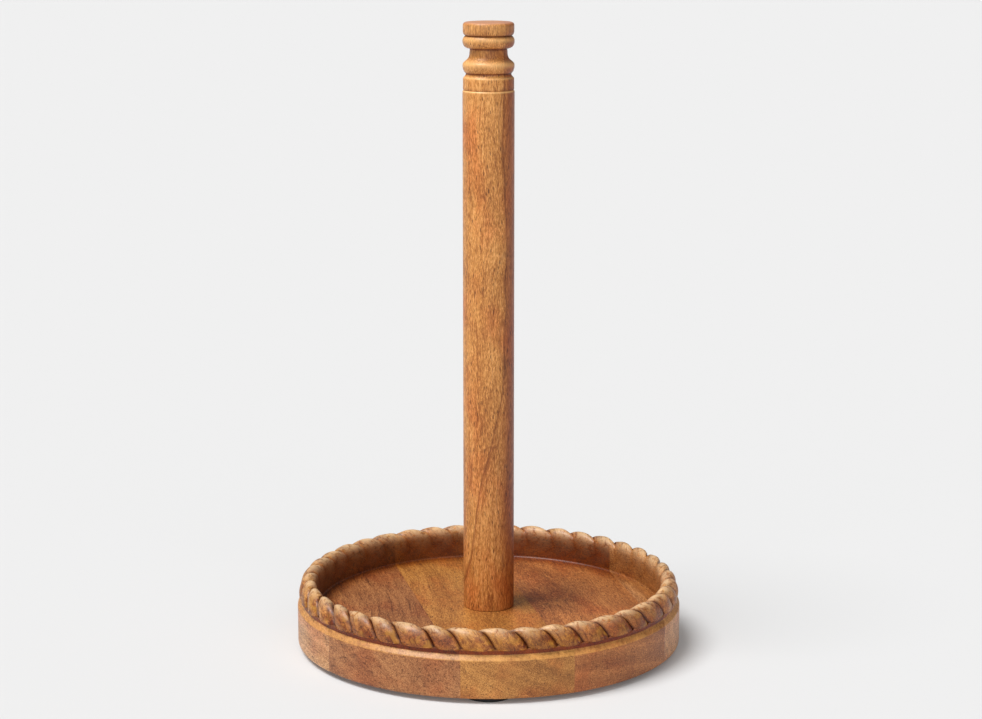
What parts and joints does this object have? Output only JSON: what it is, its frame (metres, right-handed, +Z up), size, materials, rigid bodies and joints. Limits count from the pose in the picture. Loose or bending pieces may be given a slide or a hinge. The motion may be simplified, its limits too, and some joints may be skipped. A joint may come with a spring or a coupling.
{
  "type": "paper towel holder",
  "caption": "Round wooden tray with a carved rope rim and a turned post with a ringed finial that a paper towel roll stands on.",
  "frame": {"origin": "on the table, under the middle of the round tray, on the post's axis", "axes": "+Z up along the post; -Y is the front; the boards of the tray run 12.5 degrees round from the Y axis"},
  "size_m": [0.204, 0.204, 0.33],
  "materials": {
    "tray_wood": "satin",
    "post_wood": "satin",
    "stud_steel": "satin",
    "insert_brass": "satin",
    "foot_rubber": "matte"
  },
  "bodies": {
    "tray": {"tray_plank_1": "tray_wood", "tray_plank_2": "tray_wood", "tray_plank_3": "tray_wood", "tray_plank_4": "tray_wood", "tray_plank_5": "tray_wood", "threaded_insert": "insert_brass", "foot_front": "foot_rubber", "foot_right": "foot_rubber", "foot_back": "foot_rubber", "foot_left": "foot_rubber"},
    "stud": {"threaded_stud": "stud_steel"},
    "post": {"post": "post_wood"}
  },
  "joints": [
    {"name": "post_rise", "type": "slide", "parent": "tray", "child": "stud", "axis": [0, 0, 1], "range_m": [0, 0.01201]},
    {"name": "post_turn", "type": "hinge", "parent": "stud", "child": "post", "pos_m": [0, 0, 0.02], "axis": [0, 0, 1], "range_deg": [0, 3456]}
  ],
  "couplings": [
    {"joint": "post_rise", "follows": "post_turn", "m_per_rad": 0.00019894}
  ]
}
